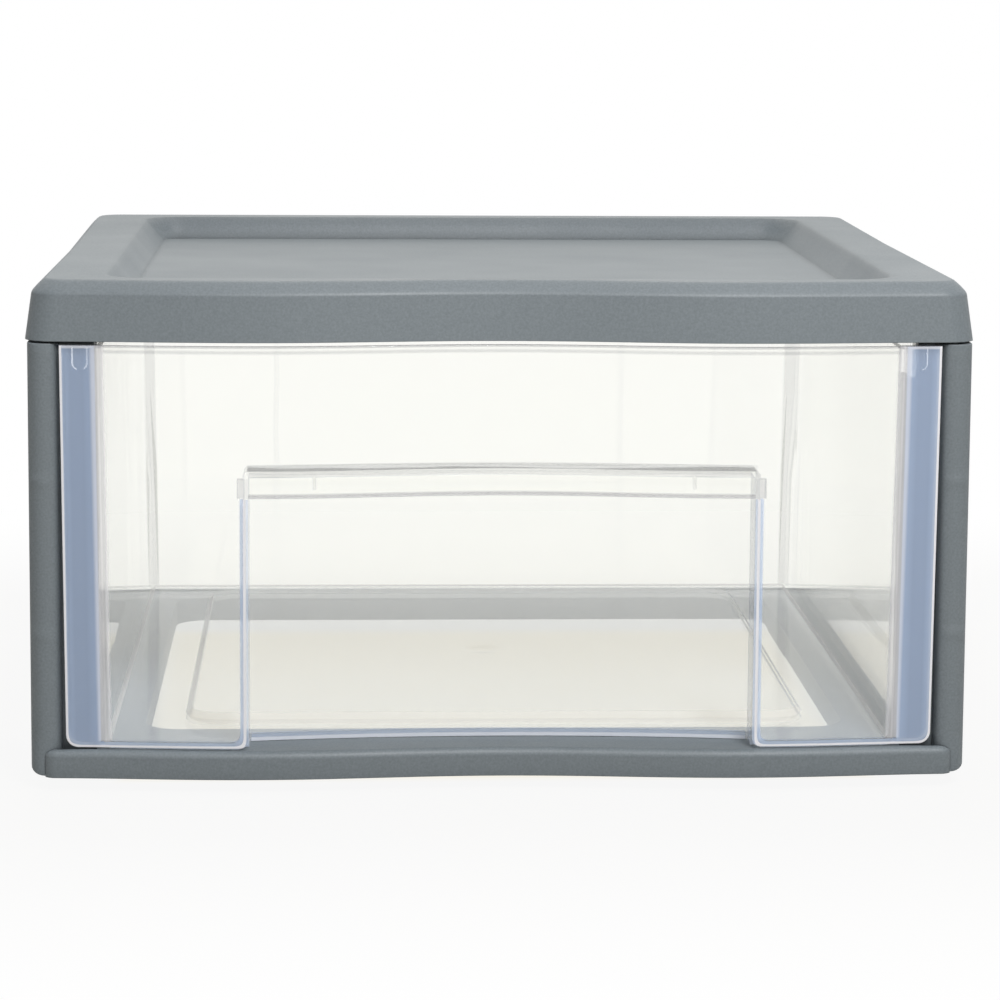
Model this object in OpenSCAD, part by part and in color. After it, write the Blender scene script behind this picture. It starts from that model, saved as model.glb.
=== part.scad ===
// Stackable drawer box for 12 inch craft paper.
// A clear drawer slides in a cabinet of two front posts, clear side and back
// panels, a moulded bottom frame and a top cover whose recess takes the feet of
// the box above. Millimetres, +Z up, the front faces -Y.
// The origin is under the middle of the box, on the surface it stands on.

/* [Overall] */
// Width over the top cover
body_w = 370; // [340:1:460]
// Depth from the front corners to the back of the top cover
body_d = 335; // [300:1:420]
// Height from the table to the rim of the top cover
body_h = 200; // [150:1:280]
// How far the wavy front swells forward at its two crests
wave_crest = 5; // [0:0.5:8]
// How far the wavy front dips back in the middle
wave_trough = 3.5; // [0:0.5:8]
// Distance of each crest from the middle
crest_x = 96; // [70:1:120]
// Clearance between pieces that seat in each other
seat_gap = 0.3; // [0.2:0.05:0.6]

/* [Top cover] */
// Height of the top cover's skirt
cover_h = 23.4; // [18:0.2:32]
// Wall of the top cover
cover_wall = 2.5; // [2:0.1:3.5]
// How far the skirt leans in on its way up
cover_lean = 2.4; // [0:0.2:4]
// Width and height of the shoulder between the skirt and the flat land
shoulder_size = [5.6, 5.8]; // [3:0.2:8]
// How far the sides of the cover bow in halfway along
side_bow = 1.2; // [0:0.2:3]
// Corner radius of the cover seen from above
cover_corner_r = 11; // [6:0.5:20]
// Depth of the stacking recess
recess_depth = 10; // [8:0.5:13]
// Width of the flat land on each side of the recess
recess_side = 31; // [28:0.5:50]
// Distance from the front corners to the recess
recess_front = 13; // [10:0.5:18]
// Distance from the recess to the back of the cover
recess_back = 22; // [18:0.5:60]
// How far the recess walls slope in at the sides
recess_slope = 7.5; // [3:0.5:12]
// How far the recess walls slope in at the front and the back
recess_end_slope = 3; // [1:0.5:8]
// Corner radius of the recess
recess_r = 16; // [14:0.5:30]
// Depth of the stiffening ribs under the recess floor
cover_rib_h = 4; // [2:0.5:5]
// Spacing of the ribs under the recess floor
cover_rib_pitch = 50; // [30:5:70]
// Height of the fences that hold the side panels' top edges
fence_h = 11; // [6:0.5:14]

/* [Bottom frame] */
// Height of the feet that drop into the recess of the box below
foot_h = 5.5; // [4:0.5:7]
// Thickness of a foot
foot_t = 4; // [3:0.5:6]
// Length of each leg of a foot
foot_len = 62; // [30:1:90]
// Height of the rails
rail_h = 11; // [9:0.5:16]
// Wall of the rails
rail_wall = 2.5; // [2:0.1:3]
// How far the front rail stands proud of the posts
rail_proud = 2.5; // [1:0.5:4]
// How far the front rail dips back in the middle
rail_trough = 0.6; // [0:0.1:3]
// Radius of the front rail's upper edge
rail_edge_r = 3; // [1:0.5:4]
// Distance from the front corners to the opening of the frame
front_rail_d = 33; // [30:1:60]
// Distance from the posts' outer faces to the ends of the front rail
rail_inset = 5; // [3:0.5:8]
// Width of the rails under the drawer's sides, from the panel inwards
side_rail_w = 23; // [20:1:50]
// Depth of the rear rail
rear_rail_d = 22; // [18:1:50]
// Corner radius of the frame's opening
opening_r = 14; // [6:1:30]
// Spacing of the ribs inside the front and rear rails
rail_rib_pitch = 40; // [25:5:60]

/* [Front posts] */
// How far the posts stand in from the sides of the cover
post_inset = 1.3; // [0.5:0.1:3]
// Gap between the posts and the top cover's skirt
post_gap = 0.9; // [0.4:0.1:0.9]
// Width of a front post
post_w = 25.7; // [24:0.1:32]
// Depth of a front post
post_d = 22; // [18:0.5:30]
// Wall of a front post
post_wall = 2.2; // [1.8:0.1:3]
// Width of the post's face beside the drawer front
post_face_w = 12.3; // [9:0.1:14]
// Width and height of the snap tongue
tongue_size = [4.9, 8.3]; // [3:0.1:10]
// Width of the slit round the snap tongue
tongue_slit = 0.8; // [0.5:0.1:1.2]
// Width and height of the notch in the right post's inner top corner
notch_size = [4.6, 13.5]; // [2:0.1:20]

/* [Clear panels] */
// Thickness of the side and back panels
panel_t = 2.4; // [2:0.1:3]
// How far the back panel reaches up inside the top cover's skirt
panel_tuck = 12; // [6:0.5:14]
// Width of the back panel's flange round the side panels
panel_flange = 14; // [8:0.5:20]

/* [Drawer] */
// Wall of the drawer
drawer_wall = 2; // [1.6:0.1:2.6]
// Thickness of the drawer's front
front_t = 2.4; // [2:0.1:3]
// Thickness of the drawer's floor
floor_t = 2.6; // [2:0.1:3.5]
// Gap between the drawer's rim and the top cover's skirt
rim_gap = 1.5; // [0.8:0.1:4]
// Draft of the drawer's side walls, per side
side_draft = 2.3; // [0:0.1:4]
// Depth of the lip round the drawer's front
front_lip = 5.2; // [4:0.2:7]
// Width of the lip round the drawer's front
lip_t = 1.9; // [1.4:0.1:2.4]
// Height of the thick band along the drawer's front rim
rim_band = 3.2; // [2:0.2:5]
// Gap between the drawer's sides and the posts
side_gap = 0.5; // [0.4:0.1:1.2]
// How far the stops at the rear corners flare out beyond the drawer's sides
stop_flare = 2.2; // [1:0.1:2.4]
// Draft of the drawer's rear wall
rear_draft = 2.5; // [0:0.1:4]
// Radius of the drawer's rear corners
tub_r = 4.5; // [4:0.5:12]
// Length of the drawer that stays behind the posts when it is pulled out
stop_len = 36; // [25:1:120]
// Height of the raised floor panel
plateau_h = 2.4; // [1:0.2:3.5]
// Margin of the raised floor panel at the sides
plateau_side = 32; // [20:1:60]
// Margin of the raised floor panel at the front and the back
plateau_end = [37, 20]; // [12:1:60]
// Diameter of the moulding dimple in the floor
dimple_d = 20; // [10:1:30]

/* [Finger pull] */
// Width of the finger recess in the drawer's front
pull_w = 197; // [120:1:220]
// Setback of the recess wall at its two ends
pull_end = 10.5; // [8:0.5:16]
// Setback of the recess wall in the middle
pull_mid = 18; // [12:0.5:24]
// Height of the recess ceiling above the drawer's underside
pull_h = 109.5; // [60:0.5:120]
// Depth of the lip that hangs below the ceiling
pull_lip = 10.3; // [6:0.1:16]
// Places of the two small gussets behind the lip
gusset_x = [-73, 75]; // [-90:1:90]
// Width, depth and height of the ears beside the lip
ear_size = [2.2, 2.5, 7.2]; // [1:0.1:9]

/* [Hidden] */
far = 2 * (body_w + body_d + body_h);
// Overlap of shapes that are joined, and thickness of the slabs in a hull
lap = 0.4;
slab = 0.1;
// Thickness of the moulded ribs at their root
rib_t = 1.8;

// Colours of the mouldings
grey_pp = "#7c8488";
clear_pp = [0.88, 0.91, 0.94, 0.35];

// The plane of the front corners and the back of the cover
total_d = body_d + wave_crest + rail_proud;
y_front = -total_d / 2 + wave_crest + rail_proud;
y_back = total_d / 2;
half_w = body_w / 2;

// Heights
z_rail = foot_h + rail_h;
z_skirt = body_h - cover_h;
z_ceiling = body_h - cover_wall;
z_drawer = z_rail + seat_gap;
z_rim = z_skirt - rim_gap;

// The posts and the panels behind them
post_out = half_w - post_inset;
post_in = post_out - post_w;
rebate_x = post_out - post_face_w;
rebate_y = y_front + front_lip + seat_gap;
panel_in = post_in + post_wall + seat_gap;
panel_out = panel_in + panel_t;
frame_hw = panel_out + 1.4;
open_hw = frame_hw - side_rail_w;
y_frame = y_back - cover_wall - 0.8;
y_panel = y_frame - 1.6 - panel_t;
slot_depth = 3;
// Where the side panels start, behind the front corners
panel_start = 11;
// Heights of the posts' two ends
post_z0 = foot_h + 0.3;
post_z1 = z_skirt - post_gap;
// Back of the post corners that are cut out of the frame
y_seat = y_front + post_d + seat_gap;
// Outer end of the frame's shoulders behind the posts
shoulder_out = post_out - 0.7;

// The drawer
drawer_hw = post_in - side_gap;
y_rear = y_panel - 1.4;
front_hw = rebate_x - seat_gap;
z_pull = z_drawer + pull_h;
z_lip = z_pull - pull_lip;
// Where the stops begin, and the length of their slanting front
y_stop = y_rear - stop_len;
stop_ramp = 10;
// How far the lower edge of the front is above the drawer's underside
front_lift = 0.6;

// Top of the frame's tongues, on which the posts stand
z_tongue = z_rail - 2;

// Swell of the front at a place x: crests at +-crest_x, zero at the corners
function wave(x, crest = wave_crest, trough = wave_trough) =
    abs(x) > crest_x
        ? crest / 2 * (1 + cos(180 * (abs(x) - crest_x) / (half_w - crest_x)))
        : (crest - trough) / 2 + (crest + trough) / 2 * cos(180 * (crest_x - abs(x)) / crest_x);

// Places along the front from -w to w, with one at each crest
function stations(w, n = 12, m = 8) = concat(
    [for (i = [0:m - 1]) -w + (w - crest_x) * i / m],
    [for (i = [-n:n]) crest_x * i / n],
    [for (i = [1:m]) crest_x + (w - crest_x) * i / m]);

// Points of a quarter or other share of an oval about c, from angle a to b
function oval(c, r, a, b, n = 6) =
    [for (i = [0:n]) let (t = a + (b - a) * i / n) c + [r.x * cos(t), r.y * sin(t)]];

// The same for a circle
function arc(c, r, a, b, n = 6) = oval(c, [r, r], a, b, n);

// Outline with a wavy front, rounded corners and sides that bow in, counter-clockwise
// from the left
function wavy_outline(w, front, back, r_front, r_back, crest, trough, bow = 0) =
    let (y0 = front + r_front - wave(w - r_front, crest, trough), y1 = back - r_back, n = 8,
         side = [for (i = [1:n - 1]) [w - bow * sin(180 * i / n), y0 + (y1 - y0) * i / n]])
    concat(
        [for (x = stations(w - r_front)) [x, front - wave(x, crest, trough)]],
        arc([w - r_front, y0], r_front, -75, 0, 4),
        bow > 0 ? side : [],
        arc([w - r_back, y1], r_back, 0, 90),
        arc([r_back - w, y1], r_back, 90, 180),
        bow > 0 ? [for (i = [n - 2:-1:0]) [-side[i].x, side[i].y]] : [],
        arc([r_front - w, y0], r_front, 180, 255, 4));

// Rounded rectangle from [x0, y0] to [x1, y1]
function round_rect(x0, y0, x1, y1, r, n = 5) = concat(
    arc([x0 + r, y0 + r], r, 180, 270, n), arc([x1 - r, y0 + r], r, 270, 360, n),
    arc([x1 - r, y1 - r], r, 0, 90, n), arc([x0 + r, y1 - r], r, 90, 180, n));

function at_height(points, z) = [for (p = points) [p.x, p.y, z]];

// Skin through a stack of outlines that have the same number of points
module loft(rings) {
    n = len(rings[0]);
    last = len(rings) - 1;
    sides = [for (j = [0:last - 1], i = [0:n - 1])
        let (k = (i + 1) % n, a = j * n + i, b = a + n, c = (j + 1) * n + k, d = j * n + k)
        each [[a, b, c], [a, c, d]]];
    polyhedron([for (ring = rings) each ring],
        concat([[for (i = [0:n - 1]) i]], sides, [[for (i = [n - 1:-1:0]) last * n + i]]),
        convexity = 8);
}

// Straight prism between two heights
module prism(points, z0, z1) {
    translate([0, 0, z0]) linear_extrude(z1 - z0, convexity = 6) polygon(points);
}

// Box between two corners
module block(a, b) {
    translate(a) cube(b - a);
}

// Moulded rib from [x, y] p to q, hanging from height top down to its narrower tip
module rib(p, q, tip, top) {
    function side(half) = p.x == q.x ? [half, 0] : [0, half];
    module level(half, z) {
        block(concat(p - side(half), [z]), concat(q + side(half), [z + slab]));
    }
    hull() {
        level(rib_t / 2, top - slab);
        level(0.35 * rib_t, tip);
    }
}

// Shape on both sides of the middle plane
module both_sides() {
    children();
    mirror([1, 0, 0]) children();
}

// ---- Top cover ----

// Outline of the cover, set in by d on every side
function cover_outline(d) = wavy_outline(half_w - d, y_front + d, y_back - d,
    cover_corner_r - d / 4, cover_corner_r - d / 4, wave_crest, wave_trough, side_bow);

// Solid hull of the cover. Each point of its shoulder is a share of the shoulder's width
// and height, from the skirt to the land.
module cover_hull() {
    shoulder_points = [[0, 1], [0.04, 0.88], [0.13, 0.74], [0.4, 0.45], [0.7, 0.18],
                       [0.87, 0.05], [1, 0]];
    loft(concat(
        [at_height(cover_outline(0), z_skirt)],
        [for (p = shoulder_points)
            at_height(cover_outline(cover_lean + shoulder_size.x * p.x), body_h - shoulder_size.y * p.y)]));
}

// The hollow under it
module cover_hollow() {
    z_bend = z_ceiling - shoulder_size.y - 0.4;
    loft([at_height(cover_outline(cover_wall), z_skirt - 1),
          at_height(cover_outline(cover_wall + cover_lean), z_bend),
          at_height(cover_outline(cover_wall + cover_lean + shoulder_size.x), z_ceiling)]);
}

// The recess down to depth z, set out by d, its rim cut to a small bevel
module recess_shape(d, z) {
    bevel = 1;
    function ring(s, e) = round_rect(
        -half_w + recess_side - d + s, y_front + recess_front - d + e,
        half_w - recess_side + d - s, y_back - recess_back + d - e, recess_r + d - s, 6);
    loft([at_height(ring(recess_slope, recess_end_slope), body_h - z),
          at_height(ring(0, 0), body_h - bevel),
          at_height(ring(-bevel, -bevel), body_h + bevel)]);
}

module top_cover() {
    floor_z = body_h - recess_depth - cover_wall;
    rib_z = floor_z - cover_rib_h;
    // Ends of the ribs: inside the recess floor by this much
    inset = 14;
    rib_x = half_w - recess_side - recess_slope - inset;
    rib_y0 = y_front + recess_front + recess_end_slope + inset;
    rib_y1 = y_back - recess_back - recess_end_slope - inset;
    fence_x = [panel_in - seat_gap - rib_t / 2, panel_out + seat_gap + rib_t / 2];
    fence_y0 = y_front + post_d + 6;
    fence_y1 = y_panel - panel_flange - 4;
    back_fence_y = y_panel - seat_gap - rib_t / 2;
    back_fence_lap = 6;
    color(grey_pp) difference() {
        union() {
            difference() {
                cover_hull();
                cover_hollow();
            }
            intersection() {
                cover_hull();
                recess_shape(cover_wall, recess_depth + cover_wall);
            }
            // Ribs under the recess floor
            for (i = [-2:2]) {
                x = i * cover_rib_pitch;
                rib([x, rib_y0], [x, rib_y1], rib_z, floor_z + lap);
            }
            for (i = [-1:1]) {
                y = i * 1.2 * cover_rib_pitch;
                rib([-rib_x, y], [rib_x, y], rib_z, floor_z + lap);
            }
            // Fences on both sides of the side panels' top edges
            both_sides() for (x = fence_x)
                rib([x, fence_y0], [x, fence_y1], z_ceiling - fence_h, z_ceiling + lap);
            // Fence in front of the back panel's top edge
            rib([-open_hw, back_fence_y], [open_hw, back_fence_y],
                z_skirt + panel_tuck - back_fence_lap, z_ceiling + lap);
        }
        recess_shape(0, recess_depth);
    }
}

// ---- Bottom frame ----

// Outline of the front rail, its front edge set back by d
function rail_outline(d) =
    let (r = 5)
    wavy_outline(post_out - rail_inset - d / 2, y_front - rail_proud + d, y_front + post_d - 2,
        r, 1, wave_crest, rail_trough);

module front_rail_form() {
    steps = 4;
    // Rounding of the ends seen from the front, above and below
    upper = [7.5, 4.3];
    lower = [1, 1];
    x = post_out - rail_inset + lap / 2;
    z0 = foot_h - lap / 2;
    z1 = z_rail + lap / 2;
    intersection() {
        loft(concat([at_height(rail_outline(0), foot_h)],
            [for (i = [0:steps])
                let (a = 90 * i / steps)
                at_height(rail_outline(rail_edge_r * (1 - cos(a))),
                    z_rail - rail_edge_r + rail_edge_r * sin(a))]));
        stand_up() polygon(concat(
            oval([x - lower.x, z0 + lower.y], lower, -90, 0, 4),
            oval([x - upper.x, z1 - upper.y], upper, 0, 90, 5),
            oval([upper.x - x, z1 - upper.y], upper, 90, 180, 5),
            oval([lower.x - x, z0 + lower.y], lower, 180, 270, 4)));
    }
}

// Front face of the front rail at a place x
function rail_y(x) = y_front - rail_proud - wave(x, wave_crest, rail_trough);

// Plan of the shoulder behind the right post: its slanting side runs back from the end
function shoulder(x0, x1, y0) =
    let (y_end = y_seat + 7 - (shoulder_out - x1))
    [[x0, y0], [x1, y0], [x1, y_end], [x0, y_end + x1 - x0]];

// One stacking foot: an angle at the front corner, a bar at the rear corner
module feet(top) {
    x1 = half_w - recess_side - recess_slope * foot_h / recess_depth - 1.5;
    x0 = x1 - foot_t;
    y0 = y_front + recess_front + recess_end_slope + 7;
    y1 = y_back - recess_back - recess_end_slope - 1;
    prism([[x1 - foot_len, y0], [x1, y0], [x1, y0 + foot_len], [x0, y0 + foot_len],
           [x0, y0 + foot_t], [x1 - foot_len, y0 + foot_t]], 0, top);
    prism([[x0, y1 - foot_len], [x1, y1 - foot_len], [x1, y1], [x0, y1]], 0, top);
}

module bottom_frame() {
    under = z_rail - rail_wall;
    y_open = y_front + front_rail_d;
    y_rear_rail = y_frame - rear_rail_d;
    // Wall between a hollow and a panel's groove
    groove_wall = 1.1;
    hollow_x = panel_in - seat_gap - groove_wall;
    hollow_y = y_panel - seat_gap - groove_wall;
    corner = 3;
    hollow_hw = post_in - 4;
    // Tongue that enters each hollow post: its two sides and its front
    tongue = [post_out - 11.7, post_out - 4.7, y_front + 9];
    color(grey_pp) difference() {
        union() {
            // Rails with open undersides
            difference() {
                union() {
                    front_rail_form();
                    block([-frame_hw, y_front + post_d / 2, foot_h], [frame_hw, y_frame, z_rail]);
                    both_sides() prism(shoulder(frame_hw - 8, shoulder_out, y_front + post_d - 1),
                        foot_h, z_rail);
                }
                // Opening in the middle
                prism(round_rect(-open_hw, y_open, open_hw, y_rear_rail, opening_r), -1, far);
                // Corners for the feet of the posts
                both_sides() block([post_in - seat_gap, y_front - seat_gap, -1], [far, y_seat, far]);
                // Hollow of the front rail
                prism(concat([for (x = stations(hollow_hw, 8, 3)) [x, rail_y(x) + rail_wall]],
                    [[hollow_hw, y_open - rail_wall], [-hollow_hw, y_open - rail_wall]]), -1, under);
                // Hollows of the side rails, the rear rail and the shoulders
                both_sides() block([open_hw + rail_wall, y_open + corner, -1],
                    [hollow_x, y_rear_rail - corner, under]);
                block([-open_hw, y_rear_rail + rail_wall, -1], [open_hw, hollow_y, under]);
                both_sides() prism(shoulder(frame_hw + rail_wall, shoulder_out - rail_wall,
                    y_seat + rail_wall), -1, under - 1);
            }
            // Ribs in the front and rear rails
            for (i = [-3:3]) {
                x = i * rail_rib_pitch;
                rib([x, rail_y(x) + 1], [x, y_open - 1], foot_h + 1, under + lap);
                rib([x, y_rear_rail + 1], [x, hollow_y + lap], foot_h + 1, under + lap);
            }
            both_sides() {
                feet(under + lap);
                block([tongue[0], tongue[2], foot_h + 1], [tongue[1], y_seat + 1, z_tongue]);
            }
        }
        // Grooves for the bottom edges of the panels
        both_sides() block([panel_in - seat_gap, y_seat - 1, z_rail - slot_depth],
            [panel_out + seat_gap, y_panel + panel_t + seat_gap, far]);
        block([-panel_in, y_panel - seat_gap, z_rail - slot_depth],
            [panel_in, y_panel + panel_t + seat_gap, far]);
    }
}

// ---- Front posts ----

module post() {
    curve = [5.5, 4.6];
    corner_r = 5;
    foot_round = [6, 3.6];
    tongue_r = 2;
    web_t = 2;
    back = y_front + post_d;
    section = concat(
        [[post_in, rebate_y], [rebate_x, rebate_y]],
        oval([rebate_x, y_front] + curve, curve, 180, 270, 5),
        arc([post_out - corner_r, y_front + corner_r], corner_r, -90, 0, 5),
        [[post_out, back], [post_in, back]]);
    slot_side = panel_out + seat_gap;
    tongue_x = (post_in + rebate_x) / 2 - 1;
    tongue_z = post_z1 - 2;
    tongue_low = tongue_z - tongue_size[1];
    // Outline of the snap tongue seen from the front, set out by d, up to height top
    function tongue_outline(d, top) =
        let (w = tongue_size[0] / 2 + d, r = tongue_r + d)
        concat(arc([tongue_x + w - r, tongue_low - d + r], r, -90, 0, 4),
            [[tongue_x + w, top], [tongue_x - w, top]],
            arc([tongue_x - w + r, tongue_low - d + r], r, 180, 270, 4));
    color(grey_pp) difference() {
        union() {
            // The column, its lower outer corner rounded
            intersection() {
                prism(section, post_z0, post_z1);
                stand_up() polygon(concat([[0, post_z0]],
                    oval([post_out, post_z0] + [-foot_round.x, foot_round.y], foot_round, -90, 0),
                    [[post_out, far], [0, far]]));
            }
            // Tenon that stands inside the top cover
            block([slot_side, y_front + 12, post_z1 - 8],
                [post_out - 11.2, back - 2, z_ceiling - seat_gap]);
        }
        // Hollow, open at the back
        difference() {
            union() {
                block([post_in + post_wall, rebate_y + post_wall, post_z0 - 1],
                    [post_out - post_wall, far, post_z1 - post_wall]);
                block([rebate_x + 3.6, y_front + post_wall, post_z0 - 1],
                    [post_out - post_wall, far, post_z1 - post_wall]);
            }
            // Rib that closes the slot for the side panel
            block([slot_side, y_front, 0], [slot_side + rib_t, far, far]);
            // Webs across the hollow: the lowest stands on the frame's tongue
            for (z = [z_tongue + seat_gap, (post_z0 + post_z1) / 3, (post_z0 + post_z1) * 2 / 3])
                block([post_in, y_front, z], [post_out, back - 3, z + web_t]);
        }
        // Slot for the side panel, through the top
        block([panel_in - seat_gap, y_front + panel_start, post_z0 - 1], [slot_side, far, far]);
        // Slit round the snap tongue
        intersection() {
            stand_up() difference() {
                polygon(tongue_outline(tongue_slit, tongue_z));
                polygon(tongue_outline(0, far));
            }
            block([0, y_front - 1, 0], [far, rebate_y + post_wall + 1, far]);
        }
    }
}

module right_front_post() {
    color(grey_pp) difference() {
        post();
        // Notch in the inner top corner
        block([post_in - 1, y_front - 1, post_z1 - notch_size[1]],
            [post_in + notch_size[0], far, far]);
    }
}

module left_front_post() {
    mirror([1, 0, 0]) post();
}

// ---- Clear panels ----

module side_panel() {
    color(clear_pp)
        block([panel_in, y_front + panel_start + seat_gap, z_rail - slot_depth + seat_gap],
            [panel_out, y_panel - seat_gap, z_ceiling - seat_gap]);
}

module right_side_panel() {
    side_panel();
}

module left_side_panel() {
    mirror([1, 0, 0]) side_panel();
}

module back_panel() {
    flange_in = panel_out + seat_gap;
    top = z_skirt + panel_tuck;
    color(clear_pp) {
        block([seat_gap - panel_in, y_panel, z_rail - slot_depth + seat_gap],
            [panel_in - seat_gap, y_panel + panel_t, top]);
        difference() {
            block([-flange_in - panel_t, y_panel - panel_flange, z_rail + seat_gap],
                [flange_in + panel_t, y_panel + panel_t, top]);
            block([-flange_in, y_panel - panel_flange - 1, 0], [flange_in, y_panel, far]);
        }
    }
}

// ---- Drawer ----

// One level of the tub at height z, set in by d, its rear corners flared out by f
module tub_slice(z, d, front, f = 0) {
    t = (z - z_drawer) / (z_rim - z_drawer);
    w = drawer_hw - side_draft * (1 - t) - d;
    rear = y_rear - rear_draft * (1 - t) - d;
    r = tub_r - 0.75 * d;
    prism(concat([[-w, front], [w, front], [w + f, front + stop_ramp]],
        arc([w + f - r, rear - r], r, 0, 90), arc([r - w - f, rear - r], r, 90, 180),
        [[-w - f, front + stop_ramp]]), z, z + slab / 10);
}

// Form of the tub between two heights, its bottom edge rounded by r
module tub_form(d, z0, z1, r) {
    ahead = 12;
    hull() {
        for (a = [0, 30, 60, 90])
            tub_slice(z0 + r * (1 - cos(a)), d + r * (1 - sin(a)), y_front - ahead);
        tub_slice(z1, d, y_front - ahead);
    }
    // Flare of the upper rear corners, which stops the drawer behind the posts
    hull() {
        tub_slice(z0 + 0.35 * (z1 - z0), d, y_stop);
        tub_slice(z0 + 0.62 * (z1 - z0), d, y_stop, stop_flare);
        tub_slice(z1, d, y_stop, stop_flare);
    }
}

// Outline of the drawer's front seen from the front, set in by d
module front_outline(d) {
    z0 = z_drawer + front_lift;
    r = 4.7 - d;
    // The front is a little narrower at the bottom
    narrow = 1.4;
    polygon(concat(
        arc([front_hw - narrow - d - r, z0 + d + r], r, -90, 0),
        [[front_hw - d, z_rim], [d - front_hw, z_rim]],
        arc([narrow + d + r - front_hw, z0 + d + r], r, 180, 270)));
}

// Band that follows the wavy front, from depth a to depth b behind it
module front_band(a, b, z0, z1) {
    xs = stations(half_w - 2);
    prism(concat([for (x = xs) [x, y_front - wave(x) + a]],
        [for (i = [len(xs) - 1:-1:0]) [xs[i], y_front - wave(xs[i]) + b]]), z0, z1);
}

module stand_up() {
    translate([0, far / 2, 0]) rotate([90, 0, 0]) linear_extrude(far, convexity = 6) children();
}

// Setback of the recess wall behind the plane of the front corners
function pull_y(x) = y_front + pull_mid - (pull_mid - pull_end) * pow(2 * x / pull_w, 2);

// Plan between the front and the recess wall, grown by d
function pull_outline(d, front) =
    let (w = pull_w / 2 + d, n = 10)
    concat([[-w, front], [w, front]],
        [for (i = [n:-1:-n]) let (x = w * i / n) [x, pull_y(min(pull_w / 2, abs(x))) + d]]);

module drawer_front() {
    band_t = 1.8;
    behind = drawer_hw - 1.1;
    intersection() {
        stand_up() front_outline(0);
        union() {
            front_band(0, front_t, z_drawer, z_rim);
            front_band(0, front_t + band_t, z_rim - rim_band, z_rim);
            difference() {
                front_band(0, front_lip, z_drawer, z_rim);
                stand_up() front_outline(lip_t);
                block([-behind, -far, 0], [behind, far, far]);
            }
        }
    }
}

// Arch over the finger recess seen from the front, its upper corners rounded
module pull_arch() {
    r = 2.6;
    w = pull_w / 2 + drawer_wall + lap / 2;
    z = z_pull + lap / 2;
    polygon(concat([[-w, 0], [w, 0]], arc([w - r, z - r], r, 0, 90), arc([r - w, z - r], r, 90, 180)));
}

// Corner that is cut off the front beside the finger recess, seen from the front
module pull_corner() {
    r = 3.4;
    low = [pull_w / 2, z_drawer + front_lift];
    difference() {
        translate(low - [1, 1]) square(r + 1);
        translate(low + [r, r]) circle(r, $fn = 32);
    }
}

// Raised panel of the floor, from height z up
module floor_panel(z) {
    x = drawer_hw - plateau_side;
    y0 = y_front + plateau_end[0];
    y1 = y_rear - plateau_end[1];
    r = 14;
    h = plateau_h;
    hull() {
        prism(round_rect(-x, y0, x, y1, r), z - lap, z);
        prism(round_rect(h - x, y0 + h, x - h, y1 - h, r - h), z + h - slab, z + h);
    }
}

// Small web between the lip and the ceiling of the finger recess
module gusset(x) {
    y = y_front - wave(x) + front_t;
    half = 0.6;
    depth = 6;
    hull() {
        block([x - half, y - lap, z_lip + 3], [x + half, y, z_pull - front_t + lap]);
        block([x - half, y - lap, z_pull - front_t], [x + half, y + depth, z_pull - front_t + lap]);
    }
}

module drawer() {
    floor_z = z_drawer + floor_t;
    rim_step = 1.5;
    edge_r = 3;
    dimple = 1;
    ball_r = (pow(dimple_d / 2, 2) + dimple * dimple) / (2 * dimple);
    ear_x = pull_w / 2 + drawer_wall;
    ear_y = y_front - wave(ear_x) + front_t;
    color(clear_pp) {
        difference() {
            union() {
                difference() {
                    union() {
                        intersection() {
                            tub_form(0, z_drawer, z_rim - rim_step, edge_r);
                            front_band(front_t / 2, far, 0, far);
                        }
                        drawer_front();
                    }
                    intersection() {
                        tub_form(drawer_wall, floor_z, z_rim + 2, edge_r - 1);
                        front_band(front_t, far, 0, far);
                    }
                }
                floor_panel(floor_z);
                // Casing of the finger recess
                intersection() {
                    prism(pull_outline(drawer_wall, y_front - far), z_drawer + front_lift, z_pull);
                    front_band(front_t / 2, far, 0, far);
                    stand_up() pull_arch();
                }
                // Ears beside the lip, behind the front
                both_sides() block([ear_x - lap, ear_y - lap, z_lip],
                    [ear_x, ear_y, z_lip] + ear_size);
            }
            // Underside of the raised floor panel
            floor_panel(z_drawer);
            // Finger recess, open at the front and below
            difference() {
                prism(pull_outline(0, y_front - far), 0, z_pull - front_t);
                front_band(-far, front_t, z_lip, far);
            }
            // Rounded corners of the front beside it
            both_sides() intersection() {
                stand_up() pull_corner();
                block([0, -far, 0], [far, y_front + 1, far]);
            }
            // Moulding dimple in the floor
            translate([0, (y_front + y_rear) / 2, floor_z + plateau_h + ball_r - dimple])
                sphere(ball_r, $fn = 64);
        }
        for (x = gusset_x) gusset(x);
    }
}

top_cover();
bottom_frame();
left_front_post();
right_front_post();
left_side_panel();
right_side_panel();
back_panel();
drawer();
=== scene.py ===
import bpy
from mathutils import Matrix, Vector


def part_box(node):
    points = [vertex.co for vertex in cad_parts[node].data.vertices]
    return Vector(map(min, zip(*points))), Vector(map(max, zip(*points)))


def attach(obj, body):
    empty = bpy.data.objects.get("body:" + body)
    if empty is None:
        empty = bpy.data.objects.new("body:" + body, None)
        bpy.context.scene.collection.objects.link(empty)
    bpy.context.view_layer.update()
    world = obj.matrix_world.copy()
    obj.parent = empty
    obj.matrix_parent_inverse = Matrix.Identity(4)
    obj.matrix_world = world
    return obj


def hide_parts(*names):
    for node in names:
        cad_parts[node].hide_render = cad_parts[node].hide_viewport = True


bl_info = {
    "name": "Stackable drawer box",
    "version": (1, 0, 0),
    "blender": (4, 5, 0),
    "location": "View3D > Sidebar > Drawer box",
    "description": "Finishes a stackable drawer box: grey grained mouldings and a clear drawer",
    "category": "Object",
}

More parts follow.
